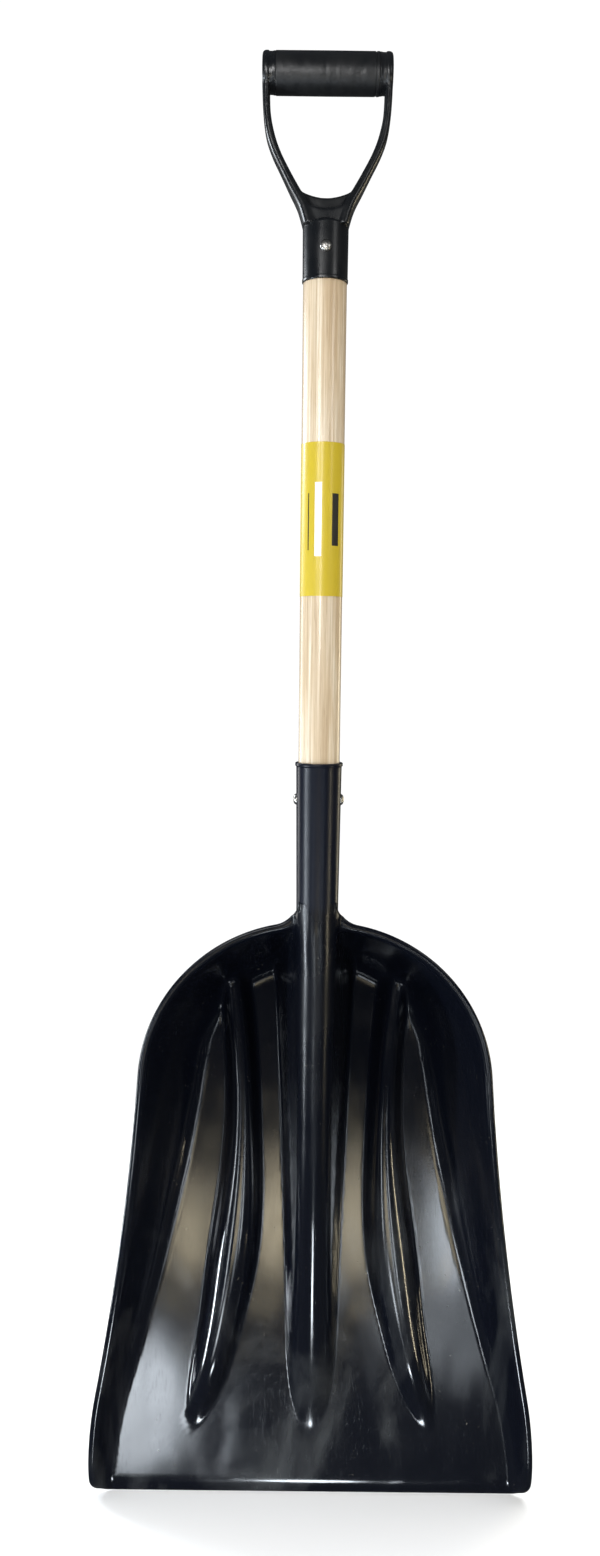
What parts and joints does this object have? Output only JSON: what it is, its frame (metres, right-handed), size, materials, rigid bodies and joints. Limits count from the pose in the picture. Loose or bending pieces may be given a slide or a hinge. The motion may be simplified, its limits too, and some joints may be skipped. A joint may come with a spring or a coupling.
{
  "type": "snow shovel",
  "caption": "Long-handled scoop shovel: a deep moulded plastic blade with three ribs, a wooden shaft and a D-shaped hand grip.",
  "frame": {"origin": "centre of the hand grip, where the grip's axis crosses the shaft's axis", "axes": "+Z along the shaft from the blade to the grip, +X along the grip to the right of a person who looks into the scoop, and -Y is the side that the scoop opens to"},
  "size_m": [0.3986, 0.1142, 1.2436],
  "materials": {
    "blade": "gloss",
    "wood": "varnished",
    "label": "gloss",
    "handle": "satin",
    "sleeve": "matte",
    "steel": "satin"
  },
  "bodies": {
    "root": {"blade": "blade", "shaft": "wood", "shaft_label": "label", "handle_yoke": "handle", "grip_sleeve": "sleeve", "grip_rod": "steel", "yoke_rivet": "steel", "socket_rivet": "steel"}
  },
  "joints": []
}
